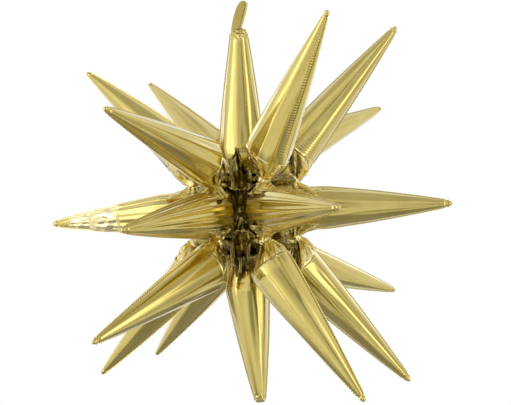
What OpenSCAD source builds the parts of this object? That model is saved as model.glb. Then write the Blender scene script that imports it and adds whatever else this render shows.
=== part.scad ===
// Foil starburst balloon: twenty foil cones round a gathered core, filled with air through one tail.
// Each cone is two foil panels welded along a flanged seam, and hangs on by a pinched neck.
// Millimetres, +Z up, origin on the axis of the core at the height of the middle necks.

/* [Foil] */
// Thickness of a foil panel
foil_t = 0.6; // [0.5:0.1:0.9]
// Width of the welded flange along a seam
flange_w = 3; // [2:0.5:4]

/* [Core necks] */
// Radius of the gathered end of a cone on the core
gather_r = 9; // [8:0.5:11]
// Radius of the pinched neck behind that end
neck_r = 6; // [5:0.5:7]

/* [Links] */
// Radius of the gathered end of an upper or lower cone
link_r = 14; // [12:0.5:17]
// Radius of the pinched neck behind that end
link_neck_r = 11; // [9:0.5:11.5]
// Radius where a link runs out of the middle cone
link_root_r = 17; // [14:0.5:19]
// Least length of the stub under a link's saucer
link_stub = 7; // [5:0.5:12]

/* [Seats] */
// Radius of the air passage through a neck
air_r = 3.5; // [2.5:0.5:4]
// Gap between a gathered end and the saucer that holds it
seat_gap = 0.3; // [0.2:0.1:0.5]
// Half angle of the saucer round a gathered end
saucer_angle = 40; // [34:1:44]
// Least length of the stub under a saucer on the core
stub_len = 5; // [4:0.5:8]

/* [Core] */
// Least radius of the spine tube
core_r = 24; // [20:1:30]
// Height of the spine tube above the middle necks
core_top = 45; // [35:1:60]
// Depth of the spine tube below the middle necks
core_foot = 80; // [60:1:100]
// Length of each tapered end of the spine tube
core_shoulder = 14; // [8:1:20]

/* [Middle cones] */
// Length from neck to tip
middle_len = 488; // [400:1:590]
// Radius at the belly
middle_r = 53; // [44:0.5:64]
// Distance of the belly from the neck
middle_belly = 85; // [75:1:100]
// Radius at the collar, where the straight taper starts
middle_collar_r = 52; // [42:0.5:53]
// Distance of the collar from the neck
middle_collar = 173; // [140:1:200]
// Radius at the tip
middle_tip_r = 7; // [4:0.5:10]
// Length of the rounded cap at the tip
middle_cap = 9; // [6:0.5:12]
// Clear space between the bellies of neighbours
belly_gap = 8; // [7:0.5:20]

/* [Upper and lower cones] */
// Length from neck to tip
outer_len = 466; // [380:1:560]
// Radius at the collar
outer_r = 56; // [46:0.5:68]
// Distance of the collar from the neck, where the cup ends
outer_collar = 62; // [52:1:75]
// Radius at the tip
outer_tip_r = 6; // [4:0.5:9]
// Length of the rounded cap at the tip
outer_cap = 8; // [5:0.5:11]
// Thickness of the folded foil round the collar and round the pinched neck
fold_bead = 2; // [1.6:0.2:2.6]
// Clear space between the collars of neighbours, as if they rose straight from their necks
outer_gap = 2; // [1:0.5:12]

/* [Top cone] */
// Length from neck to blunt end
top_len = 398; // [330:1:478]
// Radius at the belly
top_r = 56; // [46:0.5:62]
// Distance of the belly from the neck
top_belly = 95; // [80:1:114]
// Radius of the blunt end
top_end_r = 19; // [16:0.5:23]
// Length of the rounded cap at the end
top_cap = 10; // [7:0.5:14]
// Lean of the cone towards +X
top_lean = -1.5; // [-5:0.5:5]

/* [Bottom cone] */
// Length from neck to blunt tip
bottom_len = 398; // [330:1:478]
// Radius at the belly
bottom_r = 54; // [45:0.5:60]
// Distance of the belly from the neck
bottom_belly = 105; // [85:1:126]
// Radius of the blunt tip
bottom_tip_r = 12; // [8:0.5:15]
// Length of the rounded cap at the tip
bottom_cap = 12; // [8:0.5:16]
// Lean of the cone towards +X
bottom_lean = 6.5; // [0:0.5:10]

/* [Filling tail] */
// Length from fold to point
tail_len = 78; // [60:1:95]
// Greatest width
tail_w = 31; // [24:1:37]
// Height of the widest part above the fold
tail_belly = 35; // [28:1:42]
// Lean of the leaf towards +X
tail_lean = 10; // [0:1:16]
// Radius of the rolled foil at the fold
fold_r = 0.9; // [0.7:0.1:1.2]

/* [Filling valve] */
// Length of the film below the end of the cone
valve_len = 60; // [45:1:75]
// Width of the film
valve_w = 18; // [12:1:24]
// Thickness of the two films together
valve_t = 0.4; // [0.3:0.1:0.6]
// Width of the tongue that is welded into the end of the cone
tongue_w = 6; // [4:0.5:9]

/* [Hidden] */
$fn = 48;
GOLD = "#c3ae6f";
FILM = "#dfe4e2";

// Each section: name, azimuth and tilt of its middle cone, then its upper and its lower cone,
// each as rise, yaw and distance of its pinched neck in from the side of its collar
SECTIONS = [
  ["right", 0, 2, [50.5, -1, 1], [-46, 2, 3]],
  ["back_right", 55, 4, [20.5, -13, 1], [-14.5, -17, 1]],
  ["back_left", 110, 0, [31.5, 17, 1], [-40, 18, 1]],
  ["left", 162, -4.5, [35, -16, 1], [-44.5, -12, 1]],
  ["front_left", 240, -5, [15, -2, 5], [-22, -11, 1]],
  ["front_right", 294, 1, [52.5, 10, 19], [-51, 36, 21]],
];
LAST = len(SECTIONS) - 1;
SIDES = [1, 2];
OUTER_TIERS = ["upper", "lower"];

// Closest two sections in azimuth
steps = [for (i = [0 : LAST]) i < LAST ? SECTIONS[i + 1][1] - SECTIONS[i][1] : 360 - SECTIONS[LAST][1]];
closest_step = min(steps);

// A neck: radius of its gathered end, of the pinch behind it, and of the root of the stub that carries it
NECK = [gather_r, neck_r, gather_r];
LINK = [link_r, link_neck_r, link_root_r];
function saucer_r(neck) = neck[0] + seat_gap;
// Depth that a stub is sunk into the wall that carries it
stub_sink = 1;
// Room between the roots of neighbouring stubs and the plane midway between them
stub_room = 0.5;
// Gap that a fold's bead bridges between the lengths of foil that run into it
fold_gap = 0.3;
// Azimuth of the seam of the core, midway between two necks
core_seam = (SECTIONS[0][1] + SECTIONS[1][1]) / 2;
// Radius of the spine tube: wide enough for the roots of neighbouring stubs
half_step = closest_step / 2;
stub_reach = (stub_room + gather_r * cos(half_step)) / sin(half_step) + stub_sink;
spine_r = max(core_r, norm([stub_reach, gather_r]) + foil_t / 2);
// Distance of the middle necks from the axis: middle bellies and outer collars clear their neighbours,
// saucers clear the core
middle_neck = max((middle_r + belly_gap / 2) / sin(half_step) - middle_belly,
                  (outer_r + outer_gap / 2) / sin(half_step) - middle_belly,
                  spine_r + saucer_r(NECK) + stub_len);
// Height of an outer neck over the middle cone's axis
outer_rise = middle_r + saucer_r(LINK) + link_stub;
// Distance of an outer cone's axis from its neck
function outer_offset(lean) = outer_r - link_neck_r - lean[2];
top_neck = core_top + saucer_r(NECK) + stub_len;
bottom_neck = core_foot + saucer_r(NECK) + stub_len;

// A cone: length, belly radius, belly distance, collar radius, collar distance, tip radius, tip cap length
MIDDLE = [middle_len, middle_r, middle_belly, middle_collar_r, middle_collar, middle_tip_r, middle_cap];
OUTER = [outer_len, outer_r, outer_collar, outer_r, outer_collar, outer_tip_r, outer_cap];
TOP = [top_len, top_r, top_belly, top_r, top_belly, top_end_r, top_cap];
BOTTOM = [bottom_len, bottom_r, bottom_belly, bottom_r, bottom_belly, bottom_tip_r, bottom_cap];
// Bulge of the taper over a straight cone, as a share of its fall
TAPER_BULGE = 0.27;
// Bulge of a cup over a straight funnel, as a share of its spread
CUP_BULGE = 0.08;
CUP_STEPS = 4;
// Power of the curve that a shoulder swells by
SWELL_POWER = 1.5;
SHOULDER_STEPS = 6;
BARREL_STEPS = 3;
TAPER_STEPS = 5;
CAP_STEPS = 4;
ARC_STEPS = 6;
BEAD_SIDES = 8;
// The seam flange starts this many steps up the shoulder
FLANGE_FROM = 2;

// A foil shoulder swells fast from its neck and runs level into the belly
function swell(u) = 1 - pow(1 - u, SWELL_POWER);
function backwards(list) = [for (i = [len(list) - 1 : -1 : 0]) list[i]];
function flipped(list) = [for (p = list) [-p[0], p[1]]];
function from_step(list, first) = [for (i = [first : len(list) - 1]) list[i]];

// Radius and height along a cone, drawn in by inset, from the end of its neck to its tip
function neck_end(neck, inset) = sqrt(pow(neck[0] - inset, 2) - pow(neck[1] - inset, 2));
function shoulder(cone, inset) =
  [for (i = [0 : SHOULDER_STEPS]) let (u = i / SHOULDER_STEPS, start = neck_end(NECK, inset))
    [neck_r - inset + (cone[1] - neck_r) * swell(u), start + (cone[2] - start) * u]];
function shoulder_r(cone, along) =
  let (start = neck_end(NECK, 0)) neck_r + (cone[1] - neck_r) * swell((along - start) / (cone[2] - start));
function barrel(cone, inset) = cone[4] == cone[2] ? [] :
  [for (i = [1 : BARREL_STEPS]) let (u = i / BARREL_STEPS)
    [cone[1] - inset - (cone[1] - cone[3]) * u * u, cone[2] + (cone[4] - cone[2]) * u]];
function taper(cone, inset) =
  [for (i = [1 : TAPER_STEPS]) let (u = i / TAPER_STEPS, end = cone[0] - cone[6])
    [cone[5] - inset + (cone[3] - cone[5]) * (1 - u) * (1 + TAPER_BULGE * u), cone[4] + (end - cone[4]) * u]];
function cap(cone, inset) =
  [for (i = [1 : CAP_STEPS]) let (a = 90 * i / CAP_STEPS)
    [i < CAP_STEPS ? (cone[5] - inset) * cos(a) : 0, cone[0] - cone[6] + (cone[6] - inset) * sin(a)]];
function skin(cone, inset) =
  concat(shoulder(cone, inset), barrel(cone, inset), taper(cone, inset), cap(cone, inset));

// Arc of a gathered end about the neck's pivot, from the air passage towards the cone
function gather_arc(neck, inset) =
  let (r = neck[0] - inset, first = asin(air_r / r), last = 180 - asin((neck[1] - inset) / r))
  [for (i = [0 : ARC_STEPS - 1]) let (a = first + (last - first) * i / ARC_STEPS) [r * sin(a), -r * cos(a)]];

// Section through the foil of a cone, and the seam flange round it
function foil_section(cone) =
  concat(gather_arc(NECK, 0), skin(cone, 0),
         backwards(skin(cone, foil_t)), backwards(gather_arc(NECK, foil_t)));
function flange_outline(out, in) = concat(out, backwards(flipped(out)), flipped(in), backwards(in));

// One panel of a cone, on the side where y is positive, with its seam in the plane y = 0
module flange(outline)
  translate([0, foil_t, 0]) rotate([90, 0, 0]) linear_extrude(foil_t) polygon(outline);
module cone_panel(cone) {
  rotate_extrude(angle = 180) polygon(foil_section(cone));
  flange(flange_outline(from_step(skin(cone, -flange_w), FLANGE_FROM),
                        from_step(skin(cone, foil_t / 2), FLANGE_FROM)));
}

// Radius and height up the cup of an outer cone, from its pinched neck to its collar, before it leans over
cup_start = neck_end(LINK, 0);
cup_rise = outer_collar - cup_start;
function cup(inset) =
  [for (i = [0 : CUP_STEPS]) let (u = i / CUP_STEPS)
    [link_neck_r + (outer_r - link_neck_r) * (u + 4 * CUP_BULGE * u * (1 - u)) - inset,
     cup_start + fold_gap + (cup_rise - 2 * fold_gap) * u]];
function cup_section() = concat(cup(0), backwards(cup(foil_t)));
function outer_taper(inset) =
  concat([[outer_r - inset, outer_collar + fold_gap]], taper(OUTER, inset), cap(OUTER, inset));
function taper_section() = concat(outer_taper(0), backwards(outer_taper(foil_t)));
function gather_section() =
  let (top = cup_start - fold_gap)
  concat(gather_arc(LINK, 0), [[link_neck_r, top], [link_neck_r - foil_t, top]],
         backwards(gather_arc(LINK, foil_t)));
module half_ring(r, height)
  rotate_extrude(angle = 180) translate([r - foil_t / 2, height]) circle(d = fold_bead, $fn = BEAD_SIDES);
// One panel of an outer cone, whose cup leans over from its neck to the cone's axis at x = offset
module cup_panel(offset) {
  lean = offset / cup_rise;
  rotate_extrude(angle = 180) polygon(gather_section());
  half_ring(link_neck_r, cup_start);
  multmatrix([[1, 0, lean, -lean * cup_start], [0, 1, 0, 0], [0, 0, 1, 0], [0, 0, 0, 1]])
    rotate_extrude(angle = 180) polygon(cup_section());
  translate([offset, 0, 0]) {
    half_ring(outer_r, outer_collar);
    rotate_extrude(angle = 180) polygon(taper_section());
    flange(flange_outline(outer_taper(-flange_w), outer_taper(foil_t / 2)));
  }
}

// Panel 2 of a pair is panel 1 seen in the seam
module panel_side(side) {
  if (side == 1) children();
  else mirror([0, 1, 0]) children();
}

// Section through a saucer and its stub, with the pivot of the gathered end at zero
function seat_section(neck, depth) =
  let (rest = saucer_r(neck), lip = rest + foil_t, bore = asin(air_r / rest), waist = (depth + rest) / 2)
  concat([[air_r, -depth], [neck[2], -depth], [neck[1], -waist],
          [lip * sin(saucer_angle), -lip * cos(saucer_angle)]],
         [for (i = [0 : ARC_STEPS]) let (a = saucer_angle + (bore - saucer_angle) * i / ARC_STEPS)
           [rest * sin(a), -rest * cos(a)]]);
module seat(neck, depth, angle) rotate_extrude(angle = angle) polygon(seat_section(neck, depth));
module air_bore(depth) translate([0, 0, -depth - stub_sink]) cylinder(r = air_r, h = depth);

// Height of a round wall over its axis where the root of a stub meets it
function root_height(wall_r, root_r) = sqrt(pow(wall_r - foil_t / 2, 2) - pow(root_r, 2));

// Gathered spine tube at the centre, one half, with the saucers of the cones on its side
module core_panel(side) {
  half = len(SECTIONS) / 2;
  first = 1 + (side - 1) * half;
  necks = [for (i = [first : first + half - 1]) SECTIONS[i % len(SECTIONS)][1]];
  depth = middle_neck - root_height(spine_r, gather_r) + stub_sink;
  wall = [[air_r, -core_foot], [gather_r, -core_foot], [spine_r, core_shoulder - core_foot],
          [spine_r, core_top - core_shoulder], [gather_r, core_top], [air_r, core_top]];
  lining = [for (p = backwards(wall)) [p[0] == air_r ? air_r : p[0] - foil_t, p[1] - sign(p[1]) * foil_t]];
  color(GOLD) difference() {
    union() {
      rotate([0, 0, core_seam]) panel_side(side) {
        rotate_extrude(angle = 180) polygon(concat(wall, lining));
        translate([0, 0, top_neck]) seat(NECK, top_neck - core_top + foil_t / 2, 180);
        translate([0, 0, -bottom_neck]) mirror([0, 0, 1])
          seat(NECK, bottom_neck - core_foot + foil_t / 2, 180);
      }
      for (a = necks)
        rotate([0, 0, a]) translate([middle_neck, 0, 0]) rotate([0, 90, 0]) seat(NECK, depth, 360);
    }
    for (a = necks) rotate([0, 0, a]) translate([middle_neck, 0, 0]) rotate([0, 90, 0]) air_bore(depth);
  }
}

// Cones of one section: the middle one on the core, the outer two on the middle one's shoulder
module at_middle(section)
  rotate([0, 0, section[1]]) translate([middle_neck, 0, 0]) rotate([0, 90 - section[2], 0]) children();
module at_outer_seat(up)
  translate([-up * outer_rise, 0, middle_belly]) rotate([0, -90 * up, 0]) children();
module at_outer(section, up) {
  lean = up > 0 ? section[3] : section[4];
  reach = middle_neck + middle_belly * cos(section[2]) - up * outer_rise * sin(section[2]);
  height = middle_belly * sin(section[2]) + up * outer_rise * cos(section[2]);
  rotate([0, 0, section[1]]) translate([reach, 0, height])
    rotate([0, 0, lean[1]]) rotate([0, 90 - lean[0], 0]) children();
}

module middle_cone_panel(section, side) {
  // The wall is lowest at the side of the root that lies on the shoulder
  wall = min(root_height(middle_r, link_root_r), shoulder_r(MIDDLE, middle_belly - link_root_r) - foil_t / 2);
  depth = outer_rise - wall + stub_sink;
  color(GOLD) at_middle(section) panel_side(side) difference() {
    union() {
      cone_panel(MIDDLE);
      at_outer_seat(1) seat(LINK, depth, 180);
      at_outer_seat(-1) seat(LINK, depth, 180);
    }
    at_outer_seat(1) air_bore(depth);
    at_outer_seat(-1) air_bore(depth);
  }
}

module outer_cone_panel(section, tier, side)
  color(GOLD) at_outer(section, tier == "upper" ? 1 : -1) panel_side(side)
    cup_panel(tier == "upper" ? -outer_offset(section[3]) : outer_offset(section[4]));

// Blunt cones on the axis
module at_top() translate([0, 0, top_neck]) rotate([0, top_lean, 0]) children();
module top_cone_panel(side) color(GOLD) at_top() panel_side(side) cone_panel(TOP);
module bottom_cone_panel(side)
  color(GOLD) translate([0, 0, -bottom_neck]) rotate([0, 180 - bottom_lean, 0]) panel_side(side)
    cone_panel(BOTTOM);

// Flat leaf that the balloon is filled through and tied up by, folding at its rolled root
module filling_tail() {
  half_len = tail_len - tail_belly;
  bow_r = (pow(half_len, 2) + pow(tail_w / 2, 2)) / tail_w;
  root_w = 2 * (sqrt(pow(bow_r, 2) - pow(tail_belly, 2)) - bow_r + tail_w / 2);
  color(GOLD) at_top() translate([0, 0, top_len + flange_w + seat_gap + fold_r]) {
    translate([0, foil_t, 0]) rotate([90, 0, 0]) linear_extrude(2 * foil_t) intersection() {
      rotate(-tail_lean) translate([0, tail_belly]) intersection() {
        translate([bow_r - tail_w / 2, 0]) circle(r = bow_r);
        translate([tail_w / 2 - bow_r, 0]) circle(r = bow_r);
      }
      translate([-tail_len, 0]) square([2 * tail_len, tail_len]);
    }
    rotate([0, 90, 0]) cylinder(r = fold_r, h = root_w, center = true);
  }
}

// Film strip that closes by the air's own pressure, hanging from the end of the top cone
module filling_valve() {
  film_top = top_len - top_cap;
  tongue_len = top_cap - foil_t - seat_gap;
  color(FILM) at_top() translate([0, valve_t / 2, 0]) rotate([90, 0, 0]) linear_extrude(valve_t) {
    translate([-valve_w / 2, film_top - valve_len]) square([valve_w, valve_len]);
    translate([-tongue_w / 2, film_top - tongue_w]) square([tongue_w, tongue_w + tongue_len]);
  }
}

function panel_name(cone, side) = str(cone, "_cone_panel_", side);

for (k = SIDES) {
  core_panel(k);
  for (s = SECTIONS) {
    middle_cone_panel(s, k);
    for (t = OUTER_TIERS)
      outer_cone_panel(s, t, k);
  }
  top_cone_panel(k);
  bottom_cone_panel(k);
}
filling_tail();
filling_valve();
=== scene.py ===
import math

import bpy
import numpy as np
from mathutils import Matrix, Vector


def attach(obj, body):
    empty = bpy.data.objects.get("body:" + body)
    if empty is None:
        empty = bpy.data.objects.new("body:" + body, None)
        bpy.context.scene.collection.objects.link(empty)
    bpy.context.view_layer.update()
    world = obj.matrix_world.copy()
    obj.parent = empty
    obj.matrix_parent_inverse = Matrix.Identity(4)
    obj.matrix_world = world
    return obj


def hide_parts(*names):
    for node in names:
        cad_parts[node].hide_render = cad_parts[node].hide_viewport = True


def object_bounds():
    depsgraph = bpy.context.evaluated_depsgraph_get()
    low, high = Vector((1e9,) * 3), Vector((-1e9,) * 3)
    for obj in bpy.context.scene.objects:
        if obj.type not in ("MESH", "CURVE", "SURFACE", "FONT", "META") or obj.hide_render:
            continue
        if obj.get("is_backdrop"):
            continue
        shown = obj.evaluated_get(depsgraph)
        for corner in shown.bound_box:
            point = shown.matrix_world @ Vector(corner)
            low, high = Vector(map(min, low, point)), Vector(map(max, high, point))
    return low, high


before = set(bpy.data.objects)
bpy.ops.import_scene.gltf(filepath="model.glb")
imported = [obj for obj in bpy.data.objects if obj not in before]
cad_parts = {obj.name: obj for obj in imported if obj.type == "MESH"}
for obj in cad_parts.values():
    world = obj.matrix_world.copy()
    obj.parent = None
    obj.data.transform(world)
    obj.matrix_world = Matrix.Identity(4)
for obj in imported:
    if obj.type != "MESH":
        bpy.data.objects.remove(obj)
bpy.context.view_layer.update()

MM = 0.001

# The core is where all the cones meet: film gathered by hand round the spine tube and crumpled hard,
# so that most of it lies in its own shade. It is the same metallised nylon film as the cones, painted darker: a
# painted shade.

# The six sections of the star: name, azimuth and tilt of the middle cone, then the rise and yaw of the upper and
# of the lower cone on it, all in degrees, each with how much further in from its collar's edge its neck lies
SECTIONS = (
    ("right", 0, 2, (50.5, -1, 1), (-46, 2, 3)),
    ("back_right", 55, 4, (20.5, -13, 1), (-14.5, -17, 1)),
    ("back_left", 110, 0, (31.5, 17, 1), (-40, 18, 1)),
    ("left", 162, -4.5, (35, -16, 1), (-44.5, -12, 1)),
    ("front_left", 240, -5, (15, -2, 5), (-22, -11, 1)),
    ("front_right", 294, 1, (52.5, 10, 19), (-51, 36, 21)),
)
# The core's outline from the top down: distance from the axis, height
CORE_OUTLINE = (
    (0, 47), (11, 47), (14, 58), (18, 68), (26, 77), (37, 85), (51, 91), (68, 93), (90, 90), (106, 85),
    (118, 80), (121, 74), (104, 62), (84, 54), (72, 47), (62, 36), (52, 23), (42, 14), (34, 7), (32, 0),
    (34, -7), (42, -14), (52, -23), (62, -36), (72, -47), (84, -54), (104, -62), (121, -74), (118, -84), (106, -94),
    (92, -106), (66, -114), (46, -113), (32, -109), (22, -107), (15, -102), (13, -93), (11, -82), (0, -82),
)
CORE_COLUMNS, CORE_CUTS = 240, (99, 1)
# It bulges out between neighbouring middle cones, further where they stand further apart:
# azimuth, half width in radians
CORE_WEDGES = ((201, 0.28), (327, 0.18), (27, 0.09), (82, 0.09), (136, 0.08))
CORE_WEDGE_R, CORE_WEDGE_HALF_H, CORE_WAIST_R = 101.0, 62.0, 30.0
# Its rims above and below the waist are hollow at the front and drawn in at each link
CORE_RIM_HEIGHT, CORE_RIM_R = (48, 68), (60, 90)
CORE_HOLLOW_AT, CORE_HOLLOW_WIDE, CORE_HOLLOW_DEPTH = 267, 0.34, 50.0
CORE_LINK_WIDE, CORE_LINK_ROOM = 0.16, 30.0
# Tufts of it stand out beside the links of the two side cones, and it is pressed in beside a link at the back:
# azimuth, half width in radians, how far
CORE_TUFTS = ((333, 0.16, 34.0), (203, 0.16, 18.0), (45, 0.1, -14.0))
CORE_TUFT_HEIGHT, CORE_TUFT_R = (30, 50), (70, 95)
# Above and below the gap between the two front cones the film stands up and hangs down in folds,
# and at the back in two broad ones: azimuth, half width in radians, rise and how far it leans out
CORE_FOLDS = ((258, 0.09, 62, 12), (250, 0.07, 34, 12), (268, 0.08, 32, 12), (281, 0.1, 12, 12), (66, 0.18, 14, 0),
              (256, 0.10, -54, 0), (247, 0.07, -34, 0), (266, 0.09, -40, 0), (280, 0.10, -32, 0), (66, 0.25, -26, 0))
CORE_FOLD_R, CORE_FOLD_HEIGHT = (50, 62), (60, 94)
# A middle cone leans up and down, and the film stands clear of it: distance from the axis, half width, half height
MIDDLE_ROOM = ((50, 12, 25), (55, 14, 35), (65, 23, 51), (75, 31, 59), (90, 41, 65), (105, 50, 66), (130, 59, 66))
MIDDLE_NECK, MIDDLE_LEAN = 45.03, math.radians(4)
# The same for the top cone: height, radius
TOP_ROOM = ((70, 0), (75, 21), (86, 34), (96, 43), (110, 54), (130, 65), (147, 72))
# Its gathers run up and down, and smaller creases cross them: depth and width
CORE_GATHER_DEPTH, CORE_GATHER_WIDE = 3.6, 17
CORE_CREASE_DEPTH, CORE_CREASE_WIDE = 1.3, 10
CORE_DEEPEST, CORE_HIGHEST = -8, 2.5
# They fade out towards the axis, and are laid out on film that is gathered to one radius and drawn out in length
CORE_CALM_R = (14, 30)
GATHERED_R, GATHERED_LENGTH = 80, 0.3


def linear(code):
    """An sRGB hex colour as linear RGBA."""
    parts = [int(code[i:i + 2], 16) / 255 for i in (1, 3, 5)]
    return [p / 12.92 if p <= 0.04045 else ((p + 0.055) / 1.055) ** 2.4 for p in parts] + [1.0]


def add_node(material, kind, inputs=None, links=None, **settings):
    """One shader node with its settings, socket values and links."""
    made = material.node_tree.nodes.new(kind)
    for key, value in settings.items():
        setattr(made, key, value)
    for key, value in (inputs or {}).items():
        made.inputs[key].default_value = value
    for key, (source, socket) in (links or {}).items():
        material.node_tree.links.new(source.outputs[socket], made.inputs[key])
    return made


# The streaks run twelve times as far along a cone as across it, and film that was crinkled by hand and the cups are
# painted paler: a painted highlight
STREAK_DRAW = 12
PAINTED_HIGHLIGHT_FILM = "#f7e7ae"


def foil_material(name, shade, light, coat, streak_mm, streak_depth_mm, grain_mm, grain_depth_mm):
    """Metallised nylon film: a gold mirror under clear film, drawn into faint streaks along the cone.

    The streaks break a long reflection up softly, and the grain makes it a little hazy here and there."""
    material = bpy.data.materials.new(name)
    material.use_nodes = True
    material.node_tree.nodes.clear()
    place = add_node(material, "ShaderNodeAttribute", attribute_name="foil_place")
    painted_pale = add_node(material, "ShaderNodeAttribute", attribute_name="foil_painted_highlight")
    drawn = add_node(material, "ShaderNodeMapping", {"Scale": (1.0, 1.0, 1 / STREAK_DRAW)},
                     {"Vector": (place, "Vector")})
    streaks = add_node(material, "ShaderNodeTexNoise", {"Scale": 1 / (streak_mm * MM), "Detail": 2.0},
                       {"Vector": (drawn, "Vector")})
    grain = add_node(material, "ShaderNodeTexNoise", {"Scale": 1 / (grain_mm * MM), "Detail": 3.0},
                     {"Vector": (place, "Vector")})
    ramp = add_node(material, "ShaderNodeValToRGB", None, {"Fac": (streaks, "Fac")})
    ramp.color_ramp.elements[0].position, ramp.color_ramp.elements[1].position = 0.3, 0.7
    ramp.color_ramp.elements[0].color = linear(shade)
    ramp.color_ramp.elements[1].color = linear(light)
    gloss = add_node(material, "ShaderNodeMapRange", {"To Min": 0.13, "To Max": 0.22}, {"Value": (grain, "Fac")})
    folds = add_node(material, "ShaderNodeBump", {"Strength": 1.0, "Distance": streak_depth_mm * MM},
                     {"Height": (streaks, "Fac")})
    creases = add_node(material, "ShaderNodeBump", {"Strength": 1.0, "Distance": grain_depth_mm * MM},
                       {"Height": (grain, "Fac"), "Normal": (folds, "Normal")})
    # Where the film is marked, it is painted paler: a painted highlight
    tint = add_node(material, "ShaderNodeMix", {"B": linear(PAINTED_HIGHLIGHT_FILM)},
                    {"Factor": (painted_pale, "Fac"), "A": (ramp, "Color")}, data_type="RGBA")
    film = add_node(material, "ShaderNodeBsdfPrincipled",
                    {"Metallic": 1.0, "Coat Weight": coat, "Coat Roughness": 0.08},
                    {"Base Color": (tint, "Result"), "Roughness": (gloss, "Result"), "Normal": (creases, "Normal")})
    add_node(material, "ShaderNodeOutputMaterial", None, {"Surface": (film, "BSDF")})
    return material


def crumpled(points, size, seed, waves=8):
    """Creased foil as a height from about -1 to 1: folded waves that cross at random, sharp in their valleys."""
    rng = np.random.default_rng(seed)
    height = np.zeros(len(points))
    for _ in range(waves):
        across = rng.normal(size=3)
        across *= math.pi / (np.linalg.norm(across) * size * rng.uniform(0.6, 1.7))
        height += np.abs(np.sin(points @ across + rng.uniform(0, math.pi)))
    return (height / waves - 2 / math.pi) * 4


def ease(value, start, end):
    """Goes smoothly from 0 at start to 1 at end, which may lie on either side of it."""
    u = np.clip((value - start) / (end - start), 0, 1)
    return u * u * (3 - 2 * u)


def bump(offset, wide):
    """A soft hump, 1 high where there is no offset."""
    return np.exp(-(offset / wide) ** 2)


def wrapped(turn):
    """An angle brought to between -pi and pi."""
    return np.angle(np.exp(1j * turn))


def unit_tube(name, columns, cuts, flange_from=None, flange_to=None):
    """A closed tube one metre long and one in radius, and where it has a flange, a seam fin at +X and -X."""
    bpy.ops.object.select_all(action="DESELECT")
    bpy.ops.mesh.primitive_cylinder_add(vertices=columns, radius=1, depth=1, end_fill_type="TRIFAN",
                                        location=(0, 0, 0.5), rotation=(0, 0, math.pi / columns))
    tube = bpy.context.object
    tube.name = name
    bpy.ops.object.transform_apply(location=True, rotation=True, scale=True)
    mesh = tube.data
    for cut in cuts:
        bpy.ops.object.mode_set(mode="EDIT")
        bpy.ops.mesh.select_mode(type="EDGE")
        bpy.ops.mesh.select_all(action="DESELECT")
        bpy.ops.object.mode_set(mode="OBJECT")
        for edge in mesh.edges:
            a, b = (mesh.vertices[i].co for i in edge.vertices)
            edge.select = abs(a.z - b.z) > 1e-4
        bpy.ops.object.mode_set(mode="EDIT")
        bpy.ops.mesh.subdivide(number_cuts=cut)
        bpy.ops.object.mode_set(mode="OBJECT")
    for side in (1, -1) if flange_from is not None else ():
        bpy.ops.object.mode_set(mode="EDIT")
        bpy.ops.mesh.select_mode(type="FACE")
        bpy.ops.mesh.select_all(action="DESELECT")
        bpy.ops.object.mode_set(mode="OBJECT")
        for face in mesh.polygons:
            on_seam = side * face.center.x > 0.9 and abs(face.center.y) < 1 / columns
            face.select = on_seam and abs(face.normal.z) < 0.5 and flange_from < face.center.z < flange_to
        bpy.ops.object.mode_set(mode="EDIT")
        bpy.ops.mesh.extrude_region_move(TRANSFORM_OT_translate={"value": (side * 0.5, 0, 0)})
        bpy.ops.object.mode_set(mode="OBJECT")
    return tube


def read_points(mesh):
    """The vertices' places as an array."""
    points = np.zeros(len(mesh.vertices) * 3)
    mesh.vertices.foreach_get("co", points)
    return points.reshape(-1, 3)


def write_points(mesh, points, place):
    """Moves the vertices, in millimetres, and keeps their place along and round the foil for its material."""
    mesh.vertices.foreach_set("co", (points * MM).astype(np.float32).ravel())
    kept = mesh.attributes.new("foil_place", "FLOAT_VECTOR", "POINT")
    kept.data.foreach_set("vector", (place * MM).astype(np.float32).ravel())
    mesh.update()


def finish_foil(piece, material, body, *nodes):
    """Smooths a piece, gives it its film and its body, and hides the CAD nodes that it stands for."""
    bpy.ops.object.select_all(action="DESELECT")
    bpy.context.view_layer.objects.active = piece
    piece.select_set(True)
    bpy.ops.object.shade_smooth_by_angle(angle=math.radians(60))
    piece.data.materials.append(material)
    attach(piece, body)
    if nodes:
        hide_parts(*nodes)


# Tight film is a clean gold mirror. Crumpled film breaks it into small glints, and its shade is deep, so the core's
# film is painted darker: a painted shade
GOLD_FOIL = foil_material("gold_metallised_film", "#c2ad54", "#d3c16c", coat=1.0,
                          streak_mm=16, streak_depth_mm=0.12, grain_mm=45, grain_depth_mm=0.3)
PAINTED_SHADE_CRUMPLED_FOIL = foil_material("crumpled_gold_film_painted_shade", "#544a28", "#bba964", coat=0.2,
                              streak_mm=9, streak_depth_mm=0.3, grain_mm=12, grain_depth_mm=0.5)

core = unit_tube("core", CORE_COLUMNS, CORE_CUTS)
unit = read_points(core.data)
angle = np.arctan2(unit[:, 1], unit[:, 0])
on_axis = np.hypot(unit[:, 0], unit[:, 1]) < 0.5
outline = np.array(CORE_OUTLINE, dtype=float)
travel = np.concatenate([[0], np.cumsum(np.hypot(*np.diff(outline, axis=0).T))])
down = (1 - unit[:, 2]) * travel[-1]
radius = np.interp(down, travel, outline[:, 0])
height = np.interp(down, travel, outline[:, 1])
# It fills the gaps between the middle cones
for azimuth, wide in CORE_WEDGES:
    between = (np.abs(height) < CORE_WEDGE_HALF_H) & (radius > CORE_WAIST_R)
    room = np.maximum(CORE_WEDGE_R - radius, 0) * between
    radius = radius + room * bump(wrapped(angle - math.radians(azimuth)), wide)
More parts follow.
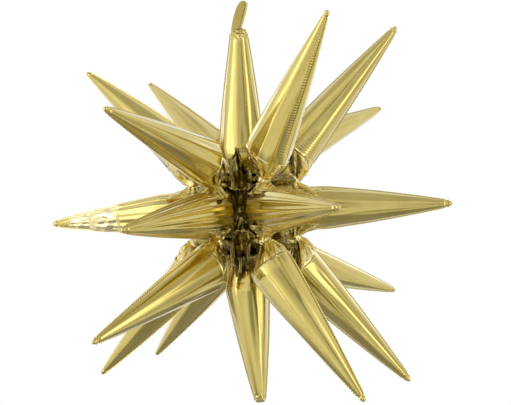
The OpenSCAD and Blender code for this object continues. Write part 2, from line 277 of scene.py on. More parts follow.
# Its rims are uneven
rim = ease(np.abs(height), *CORE_RIM_HEIGHT) * ease(radius, *CORE_RIM_R)
radius += rim * (2 * np.sin(9 * angle) + 1.5 * np.sin(17 * angle) - 3)
radius -= rim * CORE_HOLLOW_DEPTH * bump(wrapped(angle - math.radians(CORE_HOLLOW_AT)), CORE_HOLLOW_WIDE)
for _, azimuth, _, _, _ in SECTIONS:
    turn = wrapped(angle - math.radians(azimuth))
    radius -= rim * CORE_LINK_ROOM * np.exp(-(turn / CORE_LINK_WIDE) ** 4)
for azimuth, wide, more in CORE_TUFTS:
    tuft = bump(wrapped(angle - math.radians(azimuth)), wide)
    radius += more * tuft * ease(np.abs(height), *CORE_TUFT_HEIGHT) * ease(radius, *CORE_TUFT_R)
# Folds stand up from its crest and hang down below it
crest, spread = height, radius
for azimuth, wide, tall, lean_out in CORE_FOLDS:
    fold = bump(wrapped(angle - math.radians(azimuth)), wide)
    fold *= ease(spread, *CORE_FOLD_R) * ease(crest * np.sign(tall), *CORE_FOLD_HEIGHT)
    height = height + tall * fold
    radius = radius + lean_out * fold
# It keeps clear of the top cone, and of each middle cone in every lean
room = np.array(TOP_ROOM, dtype=float)
radius = np.where(on_axis, 0, np.maximum(radius, np.interp(height, room[:, 0], room[:, 1])))
room = np.array(MIDDLE_ROOM, dtype=float)
for _, azimuth, tilt, _, _ in SECTIONS:
    turn = angle - math.radians(azimuth)
    out, across = radius * np.cos(turn), radius * np.sin(turn)
    slope = np.maximum(out - MIDDLE_NECK, 0)
    over = height - slope * math.tan(math.radians(tilt))
    swept = slope * math.tan(MIDDLE_LEAN)
    beyond = np.maximum(np.abs(over) - swept, 0)
    half_width = np.interp(out, room[:, 0], room[:, 1])
    half_height = np.interp(out, room[:, 0], room[:, 2])
    inside = np.hypot(across / half_width, beyond / half_height)
    push = np.where((out > room[0, 0]) & (inside < 1), 1 / np.maximum(inside, 0.25), 1)
    height += np.sign(over) * beyond * (push - 1)
    angle = math.radians(azimuth) + np.arctan2(across * push, out)
    radius = np.hypot(out, across * push)
round_core = np.stack([radius * np.cos(angle), radius * np.sin(angle), height], axis=1)
gathered = np.stack([GATHERED_R * np.cos(angle), GATHERED_R * np.sin(angle), GATHERED_LENGTH * down], axis=1)
crease = -CORE_GATHER_DEPTH * crumpled(gathered, CORE_GATHER_WIDE, 11, 6)
crease -= CORE_CREASE_DEPTH * crumpled(round_core, CORE_CREASE_WIDE, 12, 8)
crease = np.clip(crease, CORE_DEEPEST, CORE_HIGHEST) * ease(radius, *CORE_CALM_R)
write_points(core.data, round_core, round_core)
outward = np.zeros(len(unit) * 3)
core.data.vertices.foreach_get("normal", outward)
points = round_core + outward.reshape(-1, 3) * crease[:, None]
points[on_axis, :2] = 0
core.data.vertices.foreach_set("co", (points * MM).astype(np.float32).ravel())
# The core's film is painted darker: a painted shade
finish_foil(core, PAINTED_SHADE_CRUMPLED_FOIL, "core", "core_panel_1", "core_panel_2")

# Six middle cones stand round the waist, each two gold film panels welded along a flanged seam.
# Air holds them out, the gathered neck throws long pleats, and the weld puckers the edge.
# Places along a cone are measured from its pivot, in millimetres.
MIDDLE = dict(length=488.0, belly_r=53.0, belly=85.0, collar_r=52.0, collar=173.0, tip_r=7.0, cap=9.0, shoulder=True)
GATHER_R, NECK_R = 9.0, 6.0
NECK_START, NECK_END = -7.0, 6.7
TAPER_BULGE = 0.27
BELLY_ROUND, BELLY_ROUND_REACH = 10, 24
CONE_COLUMNS, CONE_CUTS = 128, (99, 2)
# The seam's flange runs from the neck nearly to the tip, in parts of the cone's length
FLANGE_FROM, FLANGE_TO = 0.035, 0.985
FLANGE_W, FLANGE_HALF_T, FLANGE_WAVE = 3.2, 0.4, 0.14
FLANGE_RIPPLE, SEAM_RIPPLE = 0.7, 0.15
# The weld shrinks the seam, so the film beside it puckers
PUCKER_PITCH, PUCKER_DEPTH, PUCKER_REACH = 7.0, 0.09, 7
PUCKER_START = (20, 45)
# The nub at the tip is parted from the cone by a slight pinch
NUB_PINCH, NUB_FROM_TIP, NUB_PINCH_WIDE = 0.24, 15, 3.2
# A pleat holds for the first part of its run and then fades out. It is never deeper than a share of the radius,
# and the film between the pleats lies lower by a share of their depth
PLEAT_START, PLEAT_FADE = (-4, 8), (0.45, 1)
PLEAT_SHARE, PLEAT_SINK = 0.22, 0.36
# The film is crumpled from the neck to about the collar
NECK_CRUMPLE_WIDE, NECK_CRUMPLE_SHARE, NECK_CRUMPLE_FADE = 24, 0.15, (0.45, 1.05)
# The collar's crease goes round unevenly, with a step below it and a bead above
CREASE_SWING, CREASE_WAVER, CREASE_STEP_REACH = 2.5, 1.5, 16
CREASE_BEAD, CREASE_BEAD_PAST, CREASE_BEAD_WIDE = 0.5, 2.6, 1.7
# A folded bead goes round the shoulder: place, how far that swings, height, width
SHOULDER_BEAD = (40, 5, 1.8, 2.2)
# Soft dents run along the taper, as film that is welded flat can't quite fill out
DENTS, DENT_DEPTH, DENT_WIDE, DENT_START = 4, 0.035, (0.12, 0.3), 60
# A patch of the left cone was crinkled by hand: from, to, and the side that it is on
HAND_CRINKLED = (276, 442, math.radians(90))
# Broad folds cross in the patch with creases between them: depth and width
PATCH_FOLDS, PATCH_CREASES = (2.2, 54), (0.8, 20)
# Its edge fades over this many millimetres, and it is painted paler by this much: a painted highlight
PATCH_FADE, PATCH_HIGHLIGHT = 18, 0.75
# Round the cone a patch fades in between these cosines of the angle from its middle
FACING = (-5 / 14, 5 / 14)
# The film is calm at the tip
TIP_CALM, TIP_CALM_OVER = 0.15, 30


def cone_outline(size):
    """Distance from the pivot and radius along a cone, from inside its neck to its tip."""
    u = np.linspace(0, 1, 40)
    start = math.sqrt(GATHER_R ** 2 - NECK_R ** 2)
    along = [np.linspace(NECK_START, start, 12)[:-1]]
    radii = [np.sqrt(np.maximum(GATHER_R ** 2 - along[0] ** 2, 1))]
    along.append(start + (size["belly"] - start) * u)
    radii.append(NECK_R + (size["belly_r"] - NECK_R) * (1 - (1 - u) ** 1.5))
    if size["collar"] > size["belly"]:
        along.append(size["belly"] + (size["collar"] - size["belly"]) * u[1:])
        radii.append(size["belly_r"] - (size["belly_r"] - size["collar_r"]) * u[1:] ** 2)
    end = size["length"] - size["cap"]
    along.append(size["collar"] + (end - size["collar"]) * u[1:])
    radii.append(size["tip_r"] + (size["collar_r"] - size["tip_r"]) * (1 - u[1:]) * (1 + TAPER_BULGE * u[1:]))
    turn = np.linspace(0, math.pi / 2, 12)[1:]
    along.append(end + size["cap"] * np.sin(turn))
    radii.append(size["tip_r"] * np.cos(turn))
    along, radii = np.concatenate(along), np.concatenate(radii)
    # The belly rounds over softly
    even = np.arange(along[0], along[-1], 1.0)
    drawn = np.interp(even, along, radii)
    spread = bump(np.arange(-BELLY_ROUND_REACH, BELLY_ROUND_REACH + 1), BELLY_ROUND)
    rounded = np.convolve(np.pad(drawn, BELLY_ROUND_REACH, mode="edge"), spread / spread.sum(), mode="valid")
    inside = ease(even, 20, 40) * ease(even, size["length"] - 50, size["length"] - 70)
    return even, drawn + (rounded - drawn) * inside


def pleats(angle, along, rng, count, reach):
    """Soft lobes side by side, each running its own way out from the neck, from 0 to 1 high."""
    edges = np.sort((np.arange(count) + rng.uniform(-0.32, 0.32, count)) * 2 * math.pi / count)
    around = np.mod(angle - edges[0], 2 * math.pi) + edges[0]
    edges = np.append(edges, edges[0] + 2 * math.pi)
    lobe = np.clip(np.searchsorted(edges, around, side="right") - 1, 0, count - 1)
    across = (around - edges[lobe]) / (edges[lobe + 1] - edges[lobe])
    ends = rng.uniform(*reach, count)[lobe]
    tall = rng.uniform(0.45, 1.0, count)[lobe]
    return tall * np.sin(math.pi * np.clip(across, 0, 1)) ** 2 * (1 - ease(along / ends, *PLEAT_FADE))


def set_painted_highlight(mesh, amount):
    """Keeps how far the film is painted paler, as a painted highlight, for its material."""
    kept = mesh.attributes.new("foil_painted_highlight", "FLOAT", "POINT")
    kept.data.foreach_set("value", amount.astype(np.float32))


def shape_cone(piece, outline, size, seed, pleat_count, pleat_depth, pleat_reach, crease_at, crease_depth,
               crumple_depth, pucker_depth=PUCKER_DEPTH, side_of=None, patch=None, ribs=None):
    """Draws a unit tube out to a foil cone, with its pleats, creases, puckered seam and welded flange."""
    rng = np.random.default_rng(seed)
    unit = read_points(piece.data)
    reach = np.hypot(unit[:, 0], unit[:, 1])
    fin = reach > 1.2
    on_axis = reach < 0.5
    angle = np.arctan2(unit[:, 1], np.where(fin, np.sign(unit[:, 0]), unit[:, 0]))
    first, last = outline[0][0], outline[0][-1]
    along = first + unit[:, 2] * (last - first)
    radius = np.interp(along, *outline)
    welded = size.get("welded_end")
    if not welded:
        radius *= 1 - NUB_PINCH * bump(along - (last - NUB_FROM_TIP), NUB_PINCH_WIDE)
    # The weld draws the seam column in to the thickness of its flange
    step = 2 * math.pi / CONE_COLUMNS
    side = np.where(np.cos(angle) > 0, 0.0, math.pi)
    off = wrapped(angle - side)
    seam = np.abs(off) < 0.75 * step
    narrow = np.minimum(FLANGE_HALF_T / np.maximum(radius, 1), 0.5 * step)
    off = np.where(seam, np.sign(off) * narrow, off)
    angle = side + off
    from_seam = np.abs(off) * radius
    lobes = pleats(angle, along, rng, pleat_count, pleat_reach)
    depth = np.minimum(pleat_depth, PLEAT_SHARE * radius) * ease(along, *PLEAT_START)
    mean_end = sum(pleat_reach) / 2
    swell = depth * (lobes - PLEAT_SINK * (1 - ease(along / mean_end, *PLEAT_FADE)))
    flat = np.stack([radius * np.cos(angle), radius * np.sin(angle), along], axis=1)
    near_neck = 1 - ease(along / crease_at, *NECK_CRUMPLE_FADE)
    crumple = np.minimum(crumple_depth, NECK_CRUMPLE_SHARE * radius) * near_neck
    swell += crumple * crumpled(flat, NECK_CRUMPLE_WIDE, seed + 1)
    ring = crease_at + CREASE_SWING * np.sin(2 * angle + seed) + CREASE_WAVER * np.sin(5 * angle + 2 * seed)
    step_down = (1 - ease(along, ring - 1, ring + 1)) * np.exp(np.minimum(along - ring, 0) / CREASE_STEP_REACH)
    bead = CREASE_BEAD * bump(along - ring - CREASE_BEAD_PAST, CREASE_BEAD_WIDE)
    swell += crease_depth * (bead - step_down)
    if size.get("cup_facets"):
        # The cup is drawn in to the neck in long three-sided facets, and it is painted paler below the crease: a
        # painted highlight
        drawn = np.clip(along / ring, 0, 1)
        facets = np.abs(np.sin(4.5 * angle + seed + 0.5 * np.sin(2 * angle)))
        swell += size["cup_facets"] * (facets - 0.64) * drawn ** 2 * (1 - drawn)
        set_painted_highlight(piece.data, size["cup_highlight"] * (1 - ease(along, ring, ring + 8)))
    if size.get("shoulder"):
        at, swing, tall, wide = SHOULDER_BEAD
        fold = at + swing * np.sin(3 * angle + seed)
        swell += tall * bump(along - fold, wide)
    for _ in range(DENTS):
        at, wide = rng.uniform(0, 2 * math.pi), rng.uniform(*DENT_WIDE)
        here = bump(wrapped(angle - at), wide) * ease(along, crease_at, crease_at + DENT_START)
        swell -= DENT_DEPTH * radius * here * rng.uniform(0.3, 1.0)
    # The puckers are deeper in some places than in others
    waves = 2 * math.pi * along / PUCKER_PITCH
    drift = 1.4 * np.sin(along / 23 + seed)
    bowed = pucker_depth * (1 + np.sin(along / 31 + 3 * seed) * np.sin(along / 13 + seed))
    swell += bowed * np.cos(waves + drift) * np.exp(-from_seam / PUCKER_REACH) * ease(along, *PUCKER_START)
    if patch:
        start, end, face = patch
        mask = ease(along, start, start + PATCH_FADE) * ease(along, end, end - PATCH_FADE)
        mask *= ease(np.cos(angle - face), *FACING)
        (fold_depth, fold_wide), (fine_depth, fine_wide) = PATCH_FOLDS, PATCH_CREASES
        swell += mask * fold_depth * crumpled(flat, fold_wide, seed + 7, 4)
        swell -= mask * fine_depth * crumpled(flat, fine_wide, seed + 8, 4)
        # The patch is painted paler: a painted highlight
        set_painted_highlight(piece.data, PATCH_HIGHLIGHT * mask)
    if ribs:
        start, full, fading, end, face, rib_depth = ribs
        mask = ease(along, start, full) * ease(along, end, fading) * ease(np.cos(angle - face), *FACING)
        swell += rib_depth * mask * np.cos(waves + 2 * np.sin(angle))
    if welded:
        ragged = crumpled(flat, size["ragged_wide"], seed + 5, 6) * ease(along, last - 34, last - 14)
        swell += welded * ragged
    else:
        swell *= TIP_CALM + (1 - TIP_CALM) * ease(along, last, last - TIP_CALM_OVER)
    radius = np.where(on_axis, 0, radius + swell)
    radius += np.where(fin, FLANGE_W * (1 - FLANGE_WAVE + FLANGE_WAVE * np.cos(waves)), 0)
    centre = side_of(along) if side_of else np.zeros(len(along))
    points = np.stack([centre + radius * np.cos(angle), radius * np.sin(angle), along], axis=1)
    if size.get("shoulder"):
        # Its neighbours press the shoulder flat at the sides, so it stands taller than it is wide
        u = np.clip((along - NECK_END) / (size["belly"] - NECK_END), 0, 1)
        tall = NECK_R + (size["belly_r"] - NECK_R) * (1 - (1 - u) ** 4)
        taller = np.where(along > NECK_END, np.maximum(tall / np.interp(along, *outline), 1) - 1, 0)
        points[:, 0] *= 1 + taller * ease(along, size["belly"], size["belly"] - 20)
    if welded:
        # The end is welded flat and crinkled
        points[:, 1] *= 1 - size["flatness"] * ease(along, last - size["flat_over"], last)
        points[:, 1] += welded * np.sin(angle) * ragged
        points[:, 2] -= 0.5 * welded * np.abs(ragged)
    ripple = np.sin(waves + drift)
    points[:, 1] += np.where(fin, FLANGE_RIPPLE * ripple, np.where(seam, SEAM_RIPPLE * ripple, 0))
    return points, flat


def set_in_place(points, matrix):
    """Turns and moves points from a piece's own axes to the star's."""
    turn = np.array(matrix.to_3x3())
    return points @ turn.T + np.array(matrix.translation)


def copy_of(template, name):
    """A copy of a template with its own mesh."""
    piece = template.copy()
    piece.data = template.data.copy()
    piece.name = name
    bpy.context.scene.collection.objects.link(piece)
    return piece


cone_tube = unit_tube("cone_tube", CONE_COLUMNS, CONE_CUTS, FLANGE_FROM, FLANGE_TO)
middle_outline = cone_outline(MIDDLE)
middle_place = {}
for number, (section, azimuth, tilt, _, _) in enumerate(SECTIONS):
    name = f"middle_{section}_cone"
    piece = copy_of(cone_tube, name)
    # On three of them the pleats run on as flutes towards the tip
    fluted = section in ("left", "front_left", "front_right")
    points, flat = shape_cone(piece, middle_outline, MIDDLE, seed=20 + number, pleat_count=14,
                              pleat_depth=3.4 if fluted else 2.4, pleat_reach=(420, 600) if fluted else (160, 380),
                              crease_at=MIDDLE["collar"], crease_depth=0.1, crumple_depth=0.25,
                              patch=HAND_CRINKLED if section == "left" else None)
    place = (Matrix.Rotation(math.radians(azimuth), 4, "Z") @ Matrix.Translation((MIDDLE_NECK, 0, 0))
             @ Matrix.Rotation(math.radians(90 - tilt), 4, "Y"))
    middle_place[section] = place
    write_points(piece.data, set_in_place(points, place), flat)
    finish_foil(piece, GOLD_FOIL, name, f"{name}_panel_1", f"{name}_panel_2")

# Each middle cone carries two gathered links, one above and one below, where its film is drawn up
# and twisted into the neck of an upper or a lower cone.
OUTER_RISE = 74.3
# Distance from the middle cone's axis, radius
LINK_OUTLINE = ((38.0, 36.0), (44.0, 33.0), (50.0, 28.0), (55.0, 22.5), (60.0, 19.0), (66.0, 17.5))
LINK_COLUMNS, LINK_CUTS = 96, (39,)
# Low on the link the film is drawn out along the middle cone into a skirt, away from the core
LINK_SKIRT, LINK_SKIRT_HEIGHT = 1.5, (46, 70)
# Depths are in parts of the link's radius
LINK_PLEATS, LINK_PLEAT_DEPTH = 11, 0.24
LINK_CRUMPLE, LINK_CRUMPLE_WIDE = 0.10, 9
link_tube = unit_tube("link_tube", LINK_COLUMNS, LINK_CUTS)
for number, (section, _, _, _, _) in enumerate(SECTIONS):
    for tier, up in (("upper", 1), ("lower", -1)):
        piece = copy_of(link_tube, f"{tier}_{section}_link")
        unit = read_points(piece.data)
        angle = np.arctan2(unit[:, 1], unit[:, 0])
        off_axis = np.hypot(unit[:, 0], unit[:, 1]) > 0.5
        outline = np.array(LINK_OUTLINE)
        along = outline[0, 0] + unit[:, 2] * (outline[-1, 0] - outline[0, 0])
        radius = np.interp(along, outline[:, 0], outline[:, 1])
        which = 2 * number + (up > 0)
        rng = np.random.default_rng(60 + which)
        flat = np.stack([radius * np.cos(angle), radius * np.sin(angle), along], axis=1)
        skirt = 1 - ease(along, *LINK_SKIRT_HEIGHT)
        radius *= 1 + LINK_SKIRT * skirt * np.clip(up * np.cos(angle), 0, 1) ** 2
        radius += LINK_PLEAT_DEPTH * radius * (pleats(angle, along * 0, rng, LINK_PLEATS, (1, 2)) - 0.5)
        radius += LINK_CRUMPLE * radius * crumpled(flat, LINK_CRUMPLE_WIDE, 80 + which)
        radius *= off_axis
        points = np.stack([radius * np.cos(angle), radius * np.sin(angle), along], axis=1)
        place = (middle_place[section] @ Matrix.Translation((0, 0, MIDDLE["belly"]))
                 @ Matrix.Rotation(math.radians(-90 * up), 4, "Y"))
        write_points(piece.data, set_in_place(points, place), flat)
        finish_foil(piece, GOLD_FOIL, f"middle_{section}_cone")

# Six upper and six lower cones hang on the links. The film is drawn in under a sharp collar crease
# to a creased cup that leans over to the neck at one side, and tapers to a nub at the tip.
# Their cups are painted paler below the crease: a painted highlight
OUTER = dict(length=466.0, belly_r=56.0, belly=62.0, collar_r=56.0, collar=62.0, tip_r=6.0, cap=8.0,
             cup_facets=32.0, cup_highlight=0.4)
LINK_R, LINK_NECK_R, LINK_EDGE = 17.0, 14.5, 11.0
BALL_FROM, CUP_BULGE = -11, 0.32
# The two front right cones are fuller past their collars, and their seams pucker harder
FULLER, FULLER_OVER, HARD_PUCKER = 0.05, 30, 0.3
# Ribs cross the upper right cone above its collar, as coarse as the mesh needs to show them: where they begin,
# are full, fade and end, the side that they are on, and their depth
CROSS_RIBS = (66, 72, 110, 150, math.radians(-90), 0.2)
CUP_FROM = math.sqrt(LINK_R ** 2 - LINK_NECK_R ** 2)
taper_along, taper_radius = cone_outline(OUTER)
ball = np.linspace(BALL_FROM, CUP_FROM, 14)[:-1]
cup = np.linspace(0, 1, 30)
cup_along = CUP_FROM + (OUTER["collar"] - CUP_FROM) * cup
cup_radius = LINK_NECK_R + (OUTER["belly_r"] - LINK_NECK_R) * (cup + CUP_BULGE * cup * (1 - cup))
past_collar = taper_along > OUTER["collar"]
outer_along = np.concatenate([ball, cup_along, taper_along[past_collar]])
outer_radius = np.concatenate([np.sqrt(LINK_R ** 2 - ball ** 2), cup_radius, taper_radius[past_collar]])
for number, (section, azimuth, tilt, upper, lower) in enumerate(SECTIONS):
    for tier, up, (rise, yaw, edge) in (("upper", 1, upper), ("lower", -1, lower)):
        name = f"{tier}_{section}_cone"
        piece = copy_of(cone_tube, name)
        offset = OUTER["belly_r"] - LINK_EDGE - edge
        middle = offset * np.clip((outer_along - CUP_FROM) / (OUTER["collar"] - CUP_FROM), 0, 1)
        fuller = section == "front_right"
        points, flat = shape_cone(piece, (outer_along, outer_radius), OUTER, seed=100 + 2 * number + (up > 0),
                                  pleat_count=9, pleat_depth=2.0, pleat_reach=(120, 320),
                                  crease_at=OUTER["collar"], crease_depth=2.0, crumple_depth=1.6,
                                  pucker_depth=HARD_PUCKER if fuller else PUCKER_DEPTH,
                                  side_of=lambda z: -up * np.interp(z, outer_along, middle),
                                  ribs=CROSS_RIBS if name == "upper_right_cone" else None)
        if fuller:
            past = ease(points[:, 2], OUTER["collar"], OUTER["collar"] + FULLER_OVER)
            points[:, :2] *= (1 + FULLER * past)[:, None]
        lean = math.radians(tilt)
        out = MIDDLE_NECK + MIDDLE["belly"] * math.cos(lean) - up * OUTER_RISE * math.sin(lean)
        high = MIDDLE["belly"] * math.sin(lean) + up * OUTER_RISE * math.cos(lean)
        place = (Matrix.Rotation(math.radians(azimuth), 4, "Z") @ Matrix.Translation((out, 0, high))
                 @ Matrix.Rotation(math.radians(yaw), 4, "Z") @ Matrix.Rotation(math.radians(90 - rise), 4, "Y"))
        write_points(piece.data, set_in_place(points, place), flat)
        finish_foil(piece, GOLD_FOIL, name, f"{name}_panel_1", f"{name}_panel_2")

# The top and bottom cones stand on the axis of the core, shorter than the rest and blunt at the end.
# The top one is the cone that the star is filled through. Their ends are welded flat and crinkled,
# the top one's more than the other's.
TOP = dict(length=402.5, belly_r=56.0, belly=95.0, collar_r=56.0, collar=95.0, tip_r=19.0, cap=5.0,
           welded_end=2.4, ragged_wide=11, flat_over=20.0, flatness=0.8)
BOTTOM = dict(length=398.0, belly_r=54.0, belly=105.0, collar_r=54.0, collar=105.0, tip_r=12.0, cap=5.0,
              welded_end=0.5, ragged_wide=11, flat_over=6.0, flatness=0.8)
TOP_NECK, TOP_LEAN = 59.3, -1.5
BOTTOM_NECK, BOTTOM_LEAN = 94.3, 6.5
top_place = Matrix.Translation((0, 0, TOP_NECK)) @ Matrix.Rotation(math.radians(TOP_LEAN), 4, "Y")
bottom_place = Matrix.Translation((0, 0, -BOTTOM_NECK)) @ Matrix.Rotation(math.radians(180 - BOTTOM_LEAN), 4, "Y")
for name, size, place, seed in (("top_cone", TOP, top_place, 200), ("bottom_cone", BOTTOM, bottom_place, 210)):
    piece = copy_of(cone_tube, name)
    points, flat = shape_cone(piece, cone_outline(size), size, seed, pleat_count=9, pleat_depth=2.2,
                              pleat_reach=(160, 360), crease_at=90, crease_depth=0.3, crumple_depth=1.0)
    write_points(piece.data, set_in_place(points, place), flat)
    finish_foil(piece, GOLD_FOIL, name, f"{name}_panel_1", f"{name}_panel_2")
# That was the last cone, so the two templates go
for template in (cone_tube, link_tube):
    bpy.data.objects.remove(template)

# The filling tail is the flat leaf of welded film that the star is blown up and hung by.
# It stands up out of the end of the top cone, leans to the right, and turns back at its right edge.
TAIL_LEN, TAIL_LEAN = 71.0, math.radians(10)
TAIL_ROOT, TAIL_TUCK = 402.2, 3.5
TAIL_THICK = 0.9
# The leaf's half widths to the left and right, from its root to its tip
LEAF_UP = (0, 0.04, 0.2, 0.45, 0.7, 0.88, 0.97, 1.0)
LEAF_LEFT = (15.0, 15.0, 15.5, 15.5, 13.5, 9.5, 5.0, 0.5)
LEAF_RIGHT = (13.5, 12.5, 12.0, 13.5, 15.2, 14.6, 10.5, 4.0)
LEAF_ROOT_ASIDE = 4.0
# It bows back to the right of its middle, its edge turns back further, and its root is creased
LEAF_BOW, LEAF_TURN, LEAF_CREASE, LEAF_GRAIN = 1.5, 2.0, 0.5, 0.12
bpy.ops.object.select_all(action="DESELECT")
bpy.ops.mesh.primitive_grid_add(x_subdivisions=36, y_subdivisions=90, size=2)
tail = bpy.context.object
tail.name = "filling_leaf"
unit = read_points(tail.data)
up = (unit[:, 1] + 1) / 2
half_width = np.where(unit[:, 0] < 0, np.interp(up, LEAF_UP, LEAF_LEFT), np.interp(up, LEAF_UP, LEAF_RIGHT))
side = unit[:, 0] * half_width - LEAF_ROOT_ASIDE * (1 - up)
rise = up * (TAIL_LEN + TAIL_TUCK) - TAIL_TUCK + (1 - up) * side * math.tan(TAIL_LEAN)
flat = np.stack([side, 0 * side, rise], axis=1)
curl = -LEAF_BOW * np.maximum(unit[:, 0], 0) ** 2 - LEAF_TURN * ease(unit[:, 0], 0.7, 1) * ease(up, 0, 0.2)
curl += LEAF_CREASE * crumpled(flat, 11, 300) * (1 - ease(up, 0, 0.35)) + LEAF_GRAIN * crumpled(flat, 6, 301)
points = np.stack([side * math.cos(TAIL_LEAN) + rise * math.sin(TAIL_LEAN), -curl,
                   rise * math.cos(TAIL_LEAN) - side * math.sin(TAIL_LEAN)], axis=1)
write_points(tail.data, set_in_place(points, top_place @ Matrix.Translation((0, 0, TAIL_ROOT))), flat)
solid = tail.modifiers.new("film", "SOLIDIFY")
solid.thickness, solid.offset = TAIL_THICK * MM, 0
bpy.ops.object.modifier_apply(modifier="film")
finish_foil(tail, GOLD_FOIL, "filling_tail", "filling_tail")

# The filling valve is two strips of clear film welded together inside the end of the top cone.
# The air's own pressure closes it.
# Clear film is glossy and lets nearly all the light through, with a soft, uneven haze
CLEAR_FILM = bpy.data.materials.new("clear_valve_film")
CLEAR_FILM.use_nodes = True
CLEAR_FILM.node_tree.nodes.clear()
where = add_node(CLEAR_FILM, "ShaderNodeTexCoord")
haze = add_node(CLEAR_FILM, "ShaderNodeTexNoise", {"Scale": 1 / (8 * MM)}, {"Vector": (where, "Object")})
rough = add_node(CLEAR_FILM, "ShaderNodeMapRange", {"To Min": 0.08, "To Max": 0.3}, {"Value": (haze, "Fac")})
clear = add_node(CLEAR_FILM, "ShaderNodeBsdfPrincipled",
                 {"Base Color": linear("#eef1ef"), "IOR": 1.5, "Transmission Weight": 0.9},
                 {"Roughness": (rough, "Result")})
add_node(CLEAR_FILM, "ShaderNodeOutputMaterial", None, {"Surface": (clear, "BSDF")})
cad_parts["filling_valve"].data.materials.clear()
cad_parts["filling_valve"].data.materials.append(CLEAR_FILM)

# The studio: a pale floor and backdrop, soft lights, grey cards for the foil to mirror, and a camera
# level with the core.
FLOOR_Z, FLOOR_WIDE = -1.5, 14


def card(name, glow, azimuth, elevation, distance, wide, tall, feather):
    """A flat card that faces the star from out of the camera's sight and fades out towards its edges."""
    bpy.ops.object.select_all(action="DESELECT")
    bpy.ops.mesh.primitive_plane_add(size=1)
    made = bpy.context.object
    made.name = name
    turn, lift = math.radians(azimuth), math.radians(elevation)
    made.scale = (wide, tall, 1)
    made.location = (distance * math.cos(lift) * math.sin(turn), -distance * math.cos(lift) * math.cos(turn),
                     distance * math.sin(lift))
    made.rotation_euler = (math.radians(90) - lift, 0, turn)
    made.visible_camera = False
    made.visible_shadow = False
    made.visible_diffuse = False
    surface = bpy.data.materials.new(name)
    surface.use_nodes = True
    surface.node_tree.nodes.clear()
    where = add_node(surface, "ShaderNodeTexCoord")
    axes = add_node(surface, "ShaderNodeSeparateXYZ", None, {"Vector": (where, "Generated")})
    fades = []
    for axis, size in (("X", wide), ("Y", tall)):
        ramp = add_node(surface, "ShaderNodeMath", {1: 0.5}, {0: (axes, axis)}, operation="SUBTRACT")
        reach = add_node(surface, "ShaderNodeMath", None, {0: (ramp, "Value")}, operation="ABSOLUTE")
        full = max(0.5 - feather / size, 0)
        fades.append(add_node(surface, "ShaderNodeMapRange", {"From Min": 0.5, "From Max": full},
                              {"Value": (reach, "Value")}, interpolation_type="SMOOTHSTEP"))
    shape = add_node(surface, "ShaderNodeMath", None, {0: (fades[0], "Result"), 1: (fades[1], "Result")},
                     operation="MULTIPLY")
    clear = add_node(surface, "ShaderNodeBsdfTransparent")
    lit = add_node(surface, "ShaderNodeEmission", {"Color": linear("#ffffff"), "Strength": glow})
    mixed = add_node(surface, "ShaderNodeMixShader", None,
                     {0: (shape, "Value"), 1: (clear, "BSDF"), 2: (lit, "Emission")})
    add_node(surface, "ShaderNodeOutputMaterial", None, {"Surface": (mixed, "Shader")})
    made.data.materials.append(surface)
    made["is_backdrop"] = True


# Each card has its glow, its azimuth from the camera and its elevation in degrees, and then its distance, width,
# height and soft edge in metres.
# A bright wall to the left, a grey one behind the camera, a dark gap and a soft light to the right
card("wall_left", 1.5, -54, 12, 3.8, 5.4, 5.0, 1.6)
card("wall_behind_camera", 0.74, 4, 0, 4.4, 2.6, 5.6, 0.6)
card("wall_right", 0.58, 60, 0, 4.4, 6.4, 5.6, 0.8)
card("dark_gap", 0.22, 17, 2, 3.4, 0.8, 4.6, 0.3)
card("light_right", 2.4, 54, 4, 3.2, 1.9, 4.4, 0.8)
card("light_left", 3.4, -62, 8, 3.2, 0.9, 4.2, 0.42)
# Light from above and behind, a grey ceiling and a dark mat under the star
card("light_above", 1.15, -8, 48, 3.0, 2.6, 0.9, 0.45)
card("light_back_right", 1.7, 146, 14, 3.4, 1.6, 3.0, 0.6)
card("light_back_left", 1.7, -146, 14, 3.4, 1.6, 3.0, 0.6)
card("dark_gap_back", 0.2, 204, 2, 3.4, 0.7, 4.6, 0.3)
card("ceiling", 0.62, 0, 78, 3.4, 7.0, 6.0, 1.2)
card("dark_low", 0.36, 3, -20, 3.3, 1.7, 1.1, 0.4)
card("mat", 0.36, 0, -90, 1.45, 4.0, 3.6, 0.8)


def plainly_seen(surface):
    """A node that is 1 on the rays that show a background: from the camera, mirrored or through clear film."""
    path = add_node(surface, "ShaderNodeLightPath")
    seen = add_node(surface, "ShaderNodeMath", None,
                    {0: (path, "Is Camera Ray"), 1: (path, "Is Glossy Ray")}, operation="MAXIMUM")
    return add_node(surface, "ShaderNodeMath", None,
                    {0: (seen, "Value"), 1: (path, "Is Transmission Ray")}, operation="MAXIMUM")


bpy.ops.object.select_all(action="DESELECT")
bpy.ops.mesh.primitive_plane_add(size=FLOOR_WIDE, location=(0, 0, FLOOR_Z))
floor = bpy.context.object
floor.name = "floor"
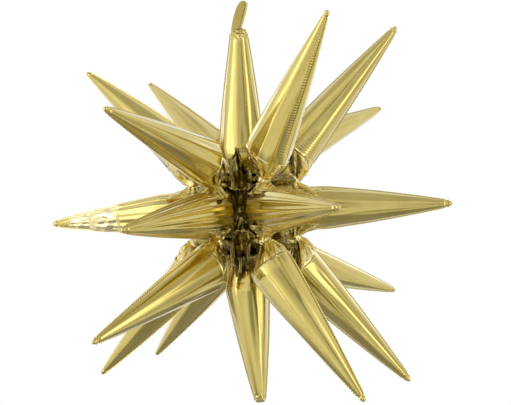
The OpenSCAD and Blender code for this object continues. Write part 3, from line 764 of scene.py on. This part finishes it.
# Matt paper keeps the star's soft shadow, and shows a little lighter than the lamp alone makes it
paper = bpy.data.materials.new("pale_paper")
paper.use_nodes = True
paper.node_tree.nodes.clear()
matt = add_node(paper, "ShaderNodeBsdfDiffuse", {"Color": linear("#f4f3f0")})
lift = add_node(paper, "ShaderNodeMapRange", {"To Min": 0.0, "To Max": 0.2},
                {"Value": (plainly_seen(paper), "Value")})
pale = add_node(paper, "ShaderNodeEmission", {"Color": linear("#ffffff")}, {"Strength": (lift, "Result")})
both = add_node(paper, "ShaderNodeAddShader", None, {0: (matt, "BSDF"), 1: (pale, "Emission")})
# The paper fades into the backdrop a few metres out
spot = add_node(paper, "ShaderNodeTexCoord")
reach = add_node(paper, "ShaderNodeVectorMath", None, {0: (spot, "Object")}, operation="LENGTH")
fade = add_node(paper, "ShaderNodeMapRange", {"From Min": 2.5, "From Max": 6.5}, {"Value": (reach, "Value")},
                interpolation_type="SMOOTHSTEP")
open_air = add_node(paper, "ShaderNodeBsdfTransparent")
cove = add_node(paper, "ShaderNodeMixShader", None, {0: (fade, "Result"), 1: (both, "Shader"), 2: (open_air, "BSDF")})
add_node(paper, "ShaderNodeOutputMaterial", None, {"Surface": (cove, "Shader")})
floor.data.materials.append(paper)
floor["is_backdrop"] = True

# A broad lamp overhead throws the star's shadow on the floor
bpy.ops.object.light_add(type="AREA", location=(-0.6, -0.6, 3.6))
lamp = bpy.context.object
lamp.data.size, lamp.data.energy = 1.6, 90.0
lamp.visible_glossy = False

world = bpy.data.worlds.new("studio")
bpy.context.scene.world = world
world.use_nodes = True
world.node_tree.nodes.clear()
level = add_node(world, "ShaderNodeMapRange", {"To Min": 0.6, "To Max": 1.0},
                 {"Value": (plainly_seen(world), "Value")})
sky = add_node(world, "ShaderNodeBackground", {"Color": linear("#ffffff")}, {"Strength": (level, "Result")})
add_node(world, "ShaderNodeOutputWorld", None, {"Surface": (sky, "Background")})

bpy.ops.object.camera_add(location=(0.032, -3.6, 0.019), rotation=(math.radians(90), 0, 0))
camera = bpy.context.object
camera.data.lens, camera.data.sensor_width = 99.85, 36
bpy.context.scene.camera = camera
bpy.context.scene.view_settings.view_transform = "Standard"

low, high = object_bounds()
